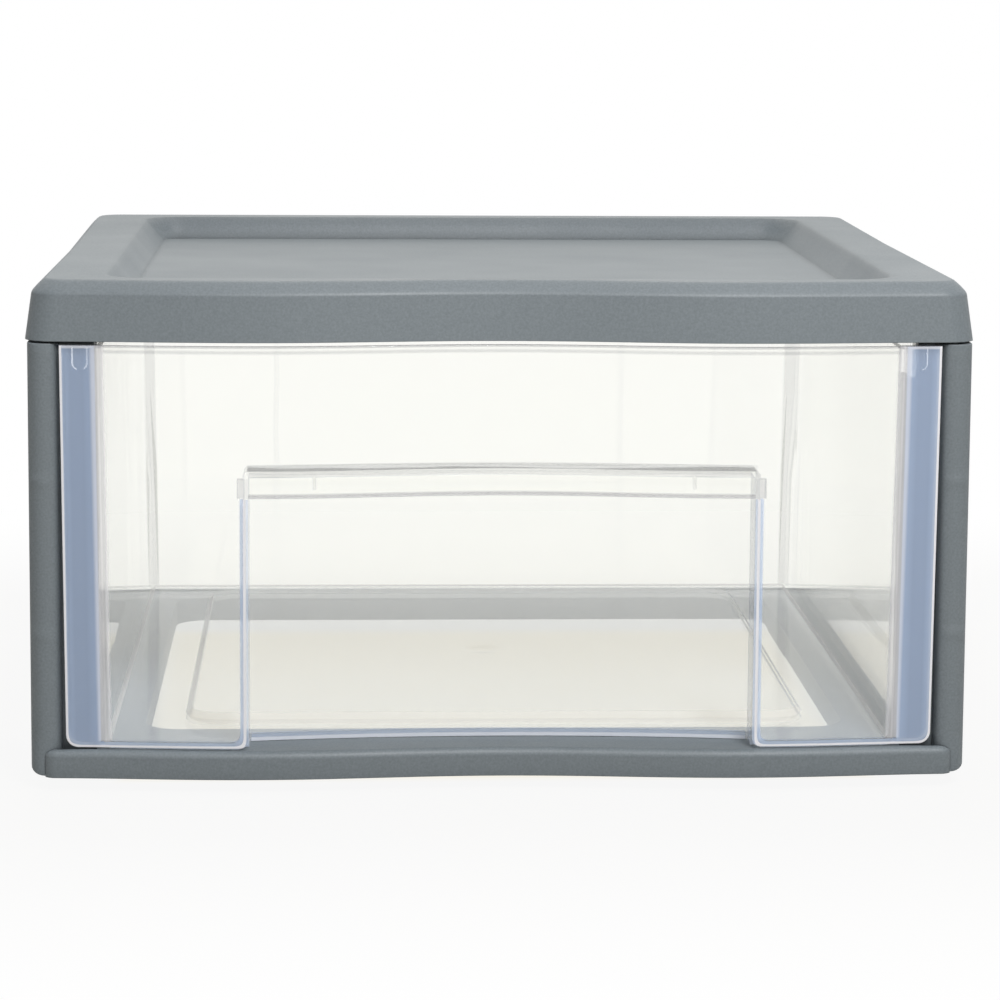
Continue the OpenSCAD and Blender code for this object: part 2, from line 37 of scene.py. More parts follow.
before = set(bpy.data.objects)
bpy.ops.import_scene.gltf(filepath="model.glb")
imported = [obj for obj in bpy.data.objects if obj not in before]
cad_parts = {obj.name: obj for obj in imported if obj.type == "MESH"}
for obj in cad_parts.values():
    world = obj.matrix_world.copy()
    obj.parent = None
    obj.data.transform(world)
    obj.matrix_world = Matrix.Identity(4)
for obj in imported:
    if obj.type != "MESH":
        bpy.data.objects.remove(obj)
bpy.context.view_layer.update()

import math

import bmesh
import bpy
from mathutils import Matrix, Vector

MM = 0.001

COVER_LOW, COVER_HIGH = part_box("top_cover")
FRAME_LOW, FRAME_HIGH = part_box("bottom_frame")
DRAWER_LOW, DRAWER_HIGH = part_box("drawer")
# The drawer's front: its half width, lower and upper edge, the tub behind it and the finger
# pull, and how far the front and the tub are narrower at the bottom
FRONT_HALF_W = DRAWER_HIGH.x
FRONT_LOW = DRAWER_LOW.z + 0.6 * MM
FRONT_HIGH = DRAWER_HIGH.z
FRONT_DRAFT = 1.4 * MM
TUB_HALF_W = 157.5 * MM
TUB_DRAFT = 2.3 * MM
PULL_HALF_W = 98.5 * MM
PULL_HIGH = DRAWER_LOW.z + 109.5 * MM
LIP_LOW = PULL_HIGH - 10.3 * MM


# ---- Small helpers ----

def linear(hex_code):
    """An sRGB hex colour such as #8A9096 as a linear colour with alpha."""
    channels = [int(hex_code[i:i + 2], 16) / 255 for i in (1, 3, 5)]
    return tuple(c / 12.92 if c <= 0.04045 else ((c + 0.055) / 1.055) ** 2.4
                 for c in channels) + (1.0,)


def add(tree, kind, inputs=None, **settings):
    """A new node with its settings; an input is a value or the socket to link to it."""
    node = tree.nodes.new("ShaderNode" + kind)
    for name, value in settings.items():
        setattr(node, name, value)
    for name, value in (inputs or {}).items():
        if isinstance(value, bpy.types.NodeSocket):
            tree.links.new(value, node.inputs[name])
        else:
            node.inputs[name].default_value = value
    return node


def new_material(name):
    """An empty node material and its tree."""
    material = bpy.data.materials.new(name)
    material.use_nodes = True
    material.node_tree.nodes.clear()
    return material, material.node_tree


def object_from(bm, name, material, body):
    """An object made from a bmesh, with its material, riding on a body."""
    mesh = bpy.data.meshes.new(name)
    bm.to_mesh(mesh)
    bm.free()
    mesh.materials.append(material)
    piece = bpy.data.objects.new(name, mesh)
    bpy.context.scene.collection.objects.link(piece)
    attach(piece, body)
    return piece


def smooth_copy(node, name, material, body, crease):
    """A merged copy of a CAD node, shaded smooth up to the crease angle, in the node's place."""
    bm = bmesh.new()
    bm.from_mesh(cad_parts[node].data)
    bmesh.ops.remove_doubles(bm, verts=bm.verts, dist=0.002 * MM)
    bmesh.ops.dissolve_limit(bm, angle_limit=math.radians(0.4), verts=bm.verts, edges=bm.edges,
                             delimit={"NORMAL"})
    for face in bm.faces:
        face.smooth = True
    for edge in bm.edges:
        edge.smooth = len(edge.link_faces) == 2 and edge.calc_face_angle(0.0) < crease
    piece = object_from(bm, name, material, body)
    weighted = piece.modifiers.new("Even shading", "WEIGHTED_NORMAL")
    weighted.keep_sharp = True
    weighted.weight = 90
    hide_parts(node)
    return piece


def maths(tree, operation, *values):
    """The result of a math node on up to three values or sockets."""
    return add(tree, "Math", dict(enumerate(values)), operation=operation).outputs["Value"]


def ramp(tree, value, start, end, low=0.0, high=1.0):
    """A smooth step from low at start to high at end."""
    step = add(tree, "MapRange", {"Value": value, "From Min": start, "From Max": end,
                                  "To Min": low, "To Max": high}, interpolation_type="SMOOTHSTEP")
    return step.outputs["Result"]


def band(tree, value, start, end, blur, strength=1.0):
    """strength where value lies between start and end, fading over blur on both sides."""
    return maths(tree, "MULTIPLY", ramp(tree, value, start - blur, start + blur, 0.0, strength),
                 ramp(tree, value, end - blur, end + blur, 1.0, 0.0))


def product(tree, *values):
    """The product of several values."""
    result = values[0]
    for value in values[1:]:
        result = maths(tree, "MULTIPLY", result, value)
    return result


def largest(tree, *values):
    """The largest of several values."""
    result = values[0]
    for value in values[1:]:
        result = maths(tree, "MAXIMUM", result, value)
    return result


def strongest(tree, *shares):
    """The largest of several masks, each weighed by its share."""
    return largest(tree, *(maths(tree, "MULTIPLY", mask, share) for mask, share in shares))


def direction_match(tree, one, other):
    """1 where two normals agree, less where they part."""
    return add(tree, "VectorMath", {0: one, 1: other}, operation="DOT_PRODUCT").outputs["Value"]


# ---- Materials ----

def soft_radius(tree, place, finish):
    """Radius of the edges: wide round the stacking recess and along the posts, else small."""
    axes = add(tree, "SeparateXYZ", {"Vector": place})
    side = maths(tree, "ABSOLUTE", axes.outputs["X"])
    depth, height = axes.outputs["Y"], axes.outputs["Z"]
    # The ribs under the middle of the recess are closer than the wide radius reaches
    rim = largest(tree, ramp(tree, side, COVER_HIGH.x - 50 * MM, COVER_HIGH.x - 48 * MM),
                  ramp(tree, depth, COVER_LOW.y + 32 * MM, COVER_LOW.y + 30 * MM),
                  ramp(tree, depth, COVER_HIGH.y - 38 * MM, COVER_HIGH.y - 36 * MM))
    recess = product(tree, rim,
                     ramp(tree, height, COVER_HIGH.z - 11.5 * MM, COVER_HIGH.z - 11 * MM),
                     ramp(tree, side, COVER_HIGH.x - 18 * MM, COVER_HIGH.x - 20 * MM),
                     ramp(tree, depth, COVER_LOW.y + 15 * MM, COVER_LOW.y + 17 * MM),
                     ramp(tree, depth, COVER_HIGH.y - 16 * MM, COVER_HIGH.y - 18 * MM))
    posts = product(tree, ramp(tree, height, COVER_LOW.z - 2 * MM, COVER_LOW.z - 4 * MM),
                    ramp(tree, height, FRAME_HIGH.z + 2 * MM, FRAME_HIGH.z + 4 * MM),
                    ramp(tree, depth, COVER_LOW.y + 10 * MM, COVER_LOW.y + 9 * MM))
    wide = largest(tree, maths(tree, "MULTIPLY", recess, finish.recess_radius),
                   maths(tree, "MULTIPLY", posts, finish.post_radius))
    return maths(tree, "MAXIMUM", wide, finish.edge_radius)


def grained_polypropylene(finish):
    """Injection-moulded polypropylene with a spark-eroded grain.

    To the eye: a satin grey, slightly cool, that breaks highlights up into a fine grain,
    with edges and wide roundings painted a shade lighter as a highlight, and painted shade
    in creases and the gaps round the drawer.
    """
    material, tree = new_material("grained_polypropylene")
    place = add(tree, "TexCoord").outputs["Object"]
    # Spark-eroded grain is about 0.15 mm wide; drawn wider so that it shows
    grain = add(tree, "TexNoise", {"Vector": place, "Scale": 1 / (finish.grain_width * 2.2),
                                   "Detail": 3.0, "Roughness": 0.55}).outputs["Fac"]
    # Slow unevenness of the sheen where the melt met the mould, 60 mm wide
    flow = add(tree, "TexNoise", {"Vector": place, "Scale": 1 / (60 * MM),
                                  "Detail": 2.0, "Roughness": 0.5}).outputs["Fac"]
    rounded = add(tree, "Bevel", {"Radius": soft_radius(tree, place, finish)}, samples=8)
    straight = add(tree, "NewGeometry").outputs["Normal"]
    facing = direction_match(tree, rounded.outputs["Normal"], straight)
    # Painted highlight: where the rounded normal leaves the true one, the grey is painted lighter
    painted_edge_light = add(tree, "MapRange", {"Value": facing, "From Min": 1.0, "From Max": 0.8,
                                 "To Min": 0.0, "To Max": 0.5}).outputs["Result"]
    tone = add(tree, "ValToRGB", {"Fac": grain})
    tone.color_ramp.elements[0].position = 0.3
    tone.color_ramp.elements[0].color = linear("#6F777C")
    tone.color_ramp.elements[1].position = 0.72
    tone.color_ramp.elements[1].color = linear("#7D858A")
    tone_with_painted_highlight = add(tree, "Mix", {"Factor": painted_edge_light, 6: tone.outputs["Color"], 7: linear("#8D9498")},
               data_type="RGBA").outputs[2]
    # Painted shade: creases and the gaps round the drawer, on faces that do not look up, are
    # painted darker towards a near-black
    open_air = add(tree, "AmbientOcclusion", {"Distance": finish.crease_reach},
                   samples=6).outputs["AO"]
    upward = add(tree, "SeparateXYZ", {"Vector": straight}).outputs["Z"]
    crease = product(tree, ramp(tree, open_air, 0.95, 0.25, 0.0, finish.crease_shade),
                     ramp(tree, upward, 0.2, 0.6, 1.0, 0.0))
    tone_with_painted_light = add(tree, "Mix", {"Factor": crease, 6: tone_with_painted_highlight, 7: linear("#1E2123")},
               data_type="RGBA").outputs[2]
    sheen = add(tree, "MapRange", {"Value": flow, "From Min": 0.3, "From Max": 0.7,
                                   "To Min": finish.roughness - 0.05,
                                   "To Max": finish.roughness + 0.05}).outputs["Result"]
    relief = add(tree, "Bump", {"Height": grain, "Distance": finish.grain_depth, "Strength": 1.0,
                                "Normal": rounded.outputs["Normal"]}).outputs["Normal"]
    shader = add(tree, "BsdfPrincipled", {"Base Color": tone_with_painted_light, "Roughness": sheen, "Normal": relief,
                                          "IOR": 1.49})
    add(tree, "OutputMaterial", {"Surface": shader.outputs["BSDF"]})
    return material


def drawer_marks(tree, place, normal, finish):
    """Where the drawer's form is marked: blue haze, white haze as painted highlights, and painted
    shade.

    A flat wall lets the light through, while a wall seen end on, a bend, a moulded edge and the
    flange beside the tub, which has no light behind it, do not: the flange gets blue haze, and
    the others get painted shade on the light passing through and painted highlights.
    """
    axes = add(tree, "SeparateXYZ", {"Vector": place})
    side = maths(tree, "ABSOLUTE", axes.outputs["X"])
    depth, height = axes.outputs["Y"], axes.outputs["Z"]
    turn = add(tree, "SeparateXYZ", {"Vector": normal})
    flat = maths(tree, "ABSOLUTE", turn.outputs["Z"])
    ahead = ramp(tree, maths(tree, "ABSOLUTE", turn.outputs["Y"]), 0.3, 0.6)
    # Places on the front and the tub as if both had upright sides
    low = add(tree, "MapRange", {"Value": height, "From Min": FRONT_HIGH,
                                 "From Max": DRAWER_LOW.z}).outputs["Result"]
    front_side = maths(tree, "MULTIPLY_ADD", low, FRONT_DRAFT, side)
    tub_side = maths(tree, "MULTIPLY_ADD", low, TUB_DRAFT, side)

    def front_part(length):
        """1 over this length of the drawer behind its foremost point."""
        return ramp(tree, depth, DRAWER_LOW.y + length, DRAWER_LOW.y + length + 1 * MM, 1.0, 0.0)

    near = product(tree, ahead, front_part(12 * MM))
    below_pull = ramp(tree, height, PULL_HIGH - 0.5 * MM, PULL_HIGH, 1.0, 0.0)

    # Distance past the closed outline of each half of the front: side, bottom and recess
    outer = maths(tree, "SMOOTH_MAX", maths(tree, "SUBTRACT", front_side, FRONT_HALF_W),
                  maths(tree, "SUBTRACT", FRONT_LOW, height), 7 * MM)
    leg = maths(tree, "SUBTRACT", maths(tree, "SUBTRACT", PULL_HALF_W + 1.1 * MM, side),
                ramp(tree, height, LIP_LOW - 0.3 * MM, LIP_LOW + 0.3 * MM))
    outline = maths(tree, "SMOOTH_MAX", outer, leg, 5 * MM)
    # Painted highlight: a white line along the outline of the front, with blue haze inside it
    rim_white = product(tree, near, band(tree, outline, -0.9 * MM, 0.15 * MM, 0.15 * MM,
                                         finish.lip_highlight))
    rim_blue = product(tree, near, band(tree, outline, -2.2 * MM, 2 * MM, 0.3 * MM,
                                        finish.lip_blue))
    # Side walls of the recess beside its lip, seen end on, and the ears behind them, painted with
    # shade and a faint highlight
    jamb = product(tree, near, band(tree, side, PULL_HALF_W, PULL_HALF_W + 4.4 * MM, 0.2 * MM),
                   band(tree, height, LIP_LOW, PULL_HIGH - 2.6 * MM, 0.3 * MM))
    # Painted shade and a faint painted highlight along the lower edge of the lip
    lip_edge = product(tree, near, ramp(tree, side, PULL_HALF_W, PULL_HALF_W + 0.5 * MM, 1.0, 0.0),
                       band(tree, height, LIP_LOW, LIP_LOW + 1.4 * MM, 0.3 * MM))
    # The flange, most milky beside the lip and beside the tub
    across = add(tree, "MapRange", {"Value": front_side, "From Min": TUB_HALF_W,
                                    "From Max": FRONT_HALF_W}).outputs["Result"]
    milky = add(tree, "ValToRGB", {"Fac": across})
    sides, between, middle = 0.5, 0.42, 0.36
    for end in milky.color_ramp.elements:
        end.color = (sides, sides, sides, 1.0)
    for position, share in ((0.2, between), (0.35, middle), (0.7, middle), (0.82, between)):
        milky.color_ramp.elements.new(position).color = (share, share, share, 1.0)
    flange = product(tree, near,
                     ramp(tree, front_side, TUB_HALF_W - 0.4 * MM, TUB_HALF_W + 0.4 * MM),
                     milky.outputs["Color"], finish.flange_haze / middle)
    # Painted highlight: white lines at the front edges of the tub's side walls, on the side of the
    # flange
    above = ramp(tree, height, FRONT_LOW + 2 * MM, FRONT_LOW + 3 * MM)
    wall_white = product(tree, front_part(12 * MM), above, largest(
        tree, band(tree, tub_side, TUB_HALF_W - 1.6 * MM, TUB_HALF_W - 0.6 * MM, 0.2 * MM, 0.5),
        band(tree, tub_side, TUB_HALF_W - 3.2 * MM, TUB_HALF_W + 1.8 * MM, 0.8 * MM, 0.4)))
    # Painted shade along the upper edge of the front and the step below it; a painted highlight on
    # the rim's top beside the tub
    rim_lines = product(tree, near, largest(
        tree, band(tree, height, FRONT_HIGH - 0.8 * MM, FRONT_HIGH + 1 * MM, 0.2 * MM, 1.0),
        band(tree, height, FRONT_HIGH - 3.0 * MM, FRONT_HIGH - 1.8 * MM, 0.3 * MM, 0.6)))
    rim_top = product(tree, near, ramp(tree, front_side, TUB_HALF_W, TUB_HALF_W + 1 * MM),
                      band(tree, height, FRONT_HIGH - 1 * MM, FRONT_HIGH + 1 * MM, 0.3 * MM))
    # Level faces above the floor: the ceiling of the recess, the lip and the rims, painted with
    # shade and a faint highlight
    ends = product(tree, ramp(tree, flat, 0.6, 0.8),
                   ramp(tree, height, DRAWER_LOW.z + 8 * MM, DRAWER_LOW.z + 9 * MM))
    ceiling = product(tree, ramp(tree, side, PULL_HALF_W, PULL_HALF_W + 1 * MM, 1.0, 0.0),
                      band(tree, height, PULL_HIGH - 1.2 * MM, PULL_HIGH + 2.6 * MM, 0.4 * MM),
                      front_part(20 * MM))
    # Side walls of the recess, with blue haze and painted shade
    sideways = ramp(tree, maths(tree, "ABSOLUTE", turn.outputs["X"]), 0.6, 0.8)
    walls = product(tree, sideways, below_pull,
                    band(tree, side, PULL_HALF_W - 1 * MM, PULL_HALF_W + 5 * MM, 0.5 * MM),
                    front_part(20 * MM))
    # Bends between the floor and the walls and round the raised floor panel, painted with a
    # highlight, the floor itself, and the rear corners above it, painted with shade and a faint
    # highlight
    low_down = ramp(tree, height, DRAWER_LOW.z + 5 * MM, DRAWER_LOW.z + 6 * MM, 1.0, 0.0)
    bends = product(tree, band(tree, flat, 0.25, 0.85, 0.08), low_down)
    floor = product(tree, ramp(tree, flat, 0.85, 0.95), low_down)
    corners = product(tree, ramp(tree, tub_side, TUB_HALF_W - 5 * MM, TUB_HALF_W - 4 * MM),
                      ramp(tree, depth, DRAWER_HIGH.y - 9 * MM, DRAWER_HIGH.y - 8 * MM),
                      ramp(tree, height, DRAWER_LOW.z + 3 * MM, DRAWER_LOW.z + 4 * MM))
    # Lower edge of the recess wall: a painted highlight over blue haze
    recess = product(tree, ramp(tree, side, PULL_HALF_W - 1 * MM, PULL_HALF_W, 1.0, 0.0),
                     front_part(30 * MM), ahead)
    edge_white = product(tree, recess, band(tree, height, 0.0, FRONT_LOW + 0.9 * MM, 0.2 * MM, 0.6))
    edge_blue = product(tree, recess, band(tree, height, 0.0, FRONT_LOW + 2.4 * MM, 0.2 * MM, 0.35))

    # White haze stands for painted highlights, and shade is painted shade on the light passing
    # through
    blue = largest(tree, rim_blue, flange, edge_blue,
                   strongest(tree, (floor, finish.floor_haze), (walls, 0.2)))
    white = largest(tree, rim_white, wall_white, edge_white,
                    strongest(tree, (bends, finish.bend_highlight), (ends, 0.12), (jamb, 0.12),
                              (corners, 0.03), (rim_top, 0.5), (lip_edge, 0.15)))
    shade = strongest(tree, (rim_lines, 0.22), (ends, finish.end_shade), (walls, 0.2),
                      (corners, 0.07), (jamb, 0.1), (ceiling, 0.1), (lip_edge, 0.25))
    return blue, white, shade, floor


def clear_polypropylene(name, finish, haze, with_marks=False):
    """Clear random-copolymer polypropylene, 2 to 3 mm thick, moulded in a polished tool.

    To the eye: see-through and glossy, mirror-like along the line of sight, with a faint milky
    haze that looks blue over dark things, and soft light lines along its edges, which are painted
    highlights drawn as white haze; on the drawer, painted shade dims the light passing through.
    """
    material, tree = new_material(name)
    place = add(tree, "TexCoord").outputs["Object"]
    # Slow ripples of the moulded wall, 35 mm wide
    ripple = add(tree, "TexNoise", {"Vector": place, "Scale": 1 / (35 * MM), "Detail": 1.0,
                                    "Roughness": 0.4}).outputs["Fac"]
    # Fine haze in drifts of 12 mm
    drift = add(tree, "TexNoise", {"Vector": place, "Scale": 1 / (12 * MM), "Detail": 3.0,
                                   "Roughness": 0.5}).outputs["Fac"]
    rounded = add(tree, "Bevel", {"Radius": finish.edge_radius}, samples=4).outputs["Normal"]
    wave = add(tree, "Bump", {"Height": ripple, "Distance": finish.ripple_depth, "Strength": 1.0,
                              "Normal": rounded}).outputs["Normal"]
    straight = add(tree, "NewGeometry").outputs["Normal"]
    along = direction_match(tree, rounded, straight)
    # Painted highlight: white haze along the rounded edges
    white = add(tree, "MapRange", {"Value": along, "From Min": 1.0, "From Max": 0.8,
                                   "To Min": 0.0, "To Max": finish.edge_highlight}).outputs["Result"]
    # Both faces of a wall reflect by the same angle, so the curve reads the plain facing ratio
    facing = add(tree, "LayerWeight", {"Blend": 0.5, "Normal": wave}).outputs["Facing"]
    mirror = maths(tree, "MULTIPLY_ADD", maths(tree, "POWER", facing, 5.0), 0.96, 0.02)
    blue = add(tree, "MapRange", {"Value": drift, "From Min": 0.3, "From Max": 0.7,
                                  "To Min": 0.85 * haze, "To Max": 1.15 * haze}).outputs["Result"]
    passed = linear(finish.tint)
    polish = finish.roughness
    if with_marks:
        more_blue, marked_highlights, shade, floor = drawer_marks(tree, place, straight, finish)
        blue = largest(tree, blue, more_blue)
        white = largest(tree, white, marked_highlights)
        # Painted shade: the light passing through is dimmed towards a dark grey where the drawer's
        # form is marked
        passed = add(tree, "Mix", {"Factor": shade, 6: passed, 7: linear("#5C5C6A")},
                     data_type="RGBA").outputs[2]
        # The floor is scuffed, so that it mirrors the walls softly
        polish = maths(tree, "MULTIPLY_ADD", floor, 0.12, finish.roughness)
    through = add(tree, "BsdfTransparent", {"Color": passed})
    gloss = add(tree, "BsdfGlossy", {"Color": linear("#FFFFFF"), "Roughness": polish,
                                     "Normal": wave})
    clear = add(tree, "MixShader", {0: mirror, 1: through.outputs["BSDF"],
                                    2: gloss.outputs["BSDF"]})
    milk = add(tree, "BsdfDiffuse", {"Color": linear(finish.haze_colour), "Normal": wave})
    bluish = add(tree, "MixShader", {0: blue, 1: clear.outputs["Shader"],
                                     2: milk.outputs["BSDF"]})
    # Painted highlight: a near-white diffuse drawn along edges and marked lines
    painted_highlight_shader = add(tree, "BsdfDiffuse", {"Color": linear(finish.highlight_colour), "Normal": wave})
    shader = add(tree, "MixShader", {0: white, 1: bluish.outputs["Shader"],
                                     2: painted_highlight_shader.outputs["BSDF"]})
    add(tree, "OutputMaterial", {"Surface": shader.outputs["Shader"]})
    return material


def seen_directly(tree):
    """1 where the camera sees a surface, also in a reflection or through the clear plastic."""
    path = add(tree, "LightPath")
    return largest(tree, path.outputs["Is Camera Ray"], path.outputs["Is Glossy Ray"],
                   path.outputs["Is Transmission Ray"])


def pale_table(stage):
    """A matt white laminate table top: plain, pale and soft, with the object's faint shadow and
    painted cream shade under the box.
    """
    material, tree = new_material("white_laminate")
    place = add(tree, "TexCoord").outputs["Object"]
    fleck = add(tree, "TexNoise", {"Vector": place, "Scale": 1 / (4 * MM),
                                   "Detail": 2.0}).outputs["Fac"]
    tone = add(tree, "ValToRGB", {"Fac": fleck})
    tone.color_ramp.elements[0].color = linear(stage.table_colour)
    tone.color_ramp.elements[1].color = linear("#A39F94")
    top = add(tree, "BsdfPrincipled", {"Base Color": tone.outputs["Color"], "Roughness": 0.75})
    # Painted shade: a cream tint under the middle of the box, white of the room away from it
    axes = add(tree, "SeparateXYZ", {"Vector": add(tree, "VectorMath", {0: place},
                                                   operation="ABSOLUTE").outputs[0]})
    away = maths(tree, "MAXIMUM", axes.outputs["X"], axes.outputs["Y"])
    cool = ramp(tree, away, 135 * MM, 155 * MM)
    glow_with_painted_shade = add(tree, "Mix", {"Factor": cool, 6: linear(stage.table_shade_under_box),
                             7: linear("#FFFFFF")}, data_type="RGBA").outputs[2]
    white = add(tree, "Emission", {"Color": glow_with_painted_shade, "Strength": 1.0})
    share = product(tree, seen_directly(tree),
                    ramp(tree, away, 170 * MM, 500 * MM, stage.background_white, 1.0))
    mix = add(tree, "MixShader", {0: share, 1: top.outputs["BSDF"], 2: white.outputs["Emission"]})
    add(tree, "OutputMaterial", {"Surface": mix.outputs["Shader"]})
    return material


# ---- Settings ----

class GreyFinish(bpy.types.PropertyGroup):
    grain_width: bpy.props.FloatProperty(
        name="Grain width", description="Width of one grain of the moulded surface",
        default=0.4 * MM, min=0.2 * MM, max=3 * MM, precision=5, unit="LENGTH")
    grain_depth: bpy.props.FloatProperty(
        name="Grain depth", description="Height of the grain's relief",
        default=0.012 * MM, min=0.0, max=0.5 * MM, precision=5, unit="LENGTH")
    edge_radius: bpy.props.FloatProperty(
        name="Edge radius", description="Rounding of the mouldings' edges",
        default=0.5 * MM, min=0.0, max=2 * MM, precision=5, unit="LENGTH")
    recess_radius: bpy.props.FloatProperty(
        name="Recess radius", description="Rounding of the rim of the stacking recess",
        default=8 * MM, min=0.0, max=12 * MM, precision=5, unit="LENGTH")
    post_radius: bpy.props.FloatProperty(
        name="Post radius", description="Rounding of the edges along the front posts",
        default=6 * MM, min=0.0, max=8 * MM, precision=5, unit="LENGTH")
    crease_reach: bpy.props.FloatProperty(
        name="Crease reach", description="How far from a crease the surface darkens",
        default=14 * MM, min=1 * MM, max=50 * MM, precision=5, unit="LENGTH")
    crease_shade: bpy.props.FloatProperty(
        name="Crease shade", description="How dark a crease is", default=0.6, min=0.0, max=1.0,
        subtype="FACTOR")
    roughness: bpy.props.FloatProperty(
        name="Roughness", description="Roughness of the satin surface",
        default=0.5, min=0.0, max=1.0, subtype="FACTOR")


class ClearFinish(bpy.types.PropertyGroup):
    tint: bpy.props.StringProperty(
        name="Tint", description="sRGB hex colour of the light that passes through",
        default="#FFFFFE")
    haze_colour: bpy.props.StringProperty(
        name="Haze colour", description="sRGB hex colour of the milky haze", default="#CADEFF")
    highlight_colour: bpy.props.StringProperty(
        name="Edge colour", description="sRGB hex colour of the haze along edges",
        default="#FAFAFF")
    drawer_haze: bpy.props.FloatProperty(
        name="Haze of the drawer", description="Share of the light that each surface scatters",
        default=0.008, min=0.0, max=1.0, subtype="FACTOR")
    floor_haze: bpy.props.FloatProperty(
        name="Haze of the floor", description="Share scattered by each face of the drawer's floor",
        default=0.12, min=0.0, max=1.0, subtype="FACTOR")
    edge_highlight: bpy.props.FloatProperty(
        name="Haze of the edges", description="Share of the light that an edge scatters",
        default=0.5, min=0.0, max=1.0, subtype="FACTOR")
    bend_highlight: bpy.props.FloatProperty(
        name="Haze of the bends", description="Share scattered where the floor bends",
        default=0.3, min=0.0, max=1.0, subtype="FACTOR")
    lip_highlight: bpy.props.FloatProperty(
        name="Haze of the lips",
        description="Share scattered along the outermost edge of the front",
        default=0.95, min=0.0, max=1.0, subtype="FACTOR")
    lip_blue: bpy.props.FloatProperty(
        name="Blue of the lips", description="Share scattered where the lip is seen end on",
        default=0.45, min=0.0, max=1.0, subtype="FACTOR")
    flange_haze: bpy.props.FloatProperty(
        name="Haze of the flange", description="Share scattered by the flange beside the tub",
        default=0.38, min=0.0, max=1.0, subtype="FACTOR")
    end_shade: bpy.props.FloatProperty(
        name="Shade of level faces", description="Share dimmed by a wall seen end on",
        default=0.1, min=0.0, max=1.0, subtype="FACTOR")
    panel_haze: bpy.props.FloatProperty(
        name="Haze of the panels", description="Share of the light that each surface scatters",
        default=0.006, min=0.0, max=1.0, subtype="FACTOR")
    roughness: bpy.props.FloatProperty(
        name="Roughness", description="Roughness of the polished surface",
        default=0.01, min=0.0, max=1.0, subtype="FACTOR")
    ripple_depth: bpy.props.FloatProperty(
        name="Ripple depth", description="Height of the slow ripples of the walls",
        default=0.05 * MM, min=0.0, max=1 * MM, precision=5, unit="LENGTH")
    edge_radius: bpy.props.FloatProperty(
        name="Edge radius", description="Rounding of the mouldings' edges",
        default=0.4 * MM, min=0.0, max=2 * MM, precision=5, unit="LENGTH")


class StageSettings(bpy.types.PropertyGroup):
    camera_place: bpy.props.FloatVectorProperty(
        name="Camera place", description="Where the camera stands",
        default=(-0.06261, -1.46254, 0.32729), subtype="TRANSLATION", unit="LENGTH")
    camera_yaw: bpy.props.FloatProperty(
        name="Camera yaw", description="Turn of the camera to the right",
        default=0.04727, subtype="ANGLE")
    camera_pitch: bpy.props.FloatProperty(
        name="Camera pitch", description="Tilt of the camera downwards",
        default=0.12659, subtype="ANGLE")
    camera_roll: bpy.props.FloatProperty(
        name="Camera roll", description="Roll of the camera about its own axis",
        default=0.00662, subtype="ANGLE")
    focal_length: bpy.props.FloatProperty(
        name="Focal length", description="Focal length on a 36 mm sensor",
        default=121.83, min=10.0, max=300.0)
    lens_shift: bpy.props.FloatProperty(
        name="Lens shift", description="Upward shift of the lens as a share of the picture",
        default=-0.12, min=-0.5, max=0.5)
    table_colour: bpy.props.StringProperty(
        name="Table colour", description="sRGB hex colour of the table top", default="#9A968B")
    table_shade_under_box: bpy.props.StringProperty(
        name="Table warmth", description="sRGB hex colour of the table under the box",
        default="#FFF8E5")
    background_white: bpy.props.FloatProperty(
        name="White of the background", description="How far the table is white to the camera",
        default=0.92, min=0.0, max=1.0, subtype="FACTOR")
    key_power: bpy.props.FloatProperty(
        name="Key light", description="Power of the lamp in front", default=18.5, min=0.0,
        unit="POWER")
    top_power: bpy.props.FloatProperty(
        name="Top light", description="Power of the lamp above", default=8.5, min=0.0, unit="POWER")
    sky_strength: bpy.props.FloatProperty(
        name="Room light", description="Strength of the even light from all around",
        default=0.18, min=0.0, max=2.0)


# ---- Operators ----

class DRAWERBOX_OT_camera(bpy.types.Operator):
    """Puts the camera in front of the box, a little above it"""
    bl_idname = "drawerbox.camera"
    bl_label = "Place the camera"

    def execute(self, context):
        stage = context.scene.drawerbox_stage
        yaw, pitch, roll = stage.camera_yaw, stage.camera_pitch, stage.camera_roll
        ahead = Vector((math.sin(yaw) * math.cos(pitch), math.cos(yaw) * math.cos(pitch),
                        -math.sin(pitch)))
        right = Vector((math.cos(yaw), -math.sin(yaw), 0.0))
        up = right.cross(ahead)
        side = right * math.cos(roll) + up * math.sin(roll)
        top = up * math.cos(roll) - right * math.sin(roll)
        data = bpy.data.cameras.new("studio_camera")
        data.sensor_width = 36.0
        data.lens = stage.focal_length
        data.shift_y = stage.lens_shift
        data.clip_end = 50.0
        camera = bpy.data.objects.new("studio_camera", data)
        camera.matrix_world = (Matrix.Translation(stage.camera_place)
                               @ Matrix((side, top, -ahead)).transposed().to_4x4())
        context.scene.collection.objects.link(camera)
        context.scene.camera = camera
        return {"FINISHED"}


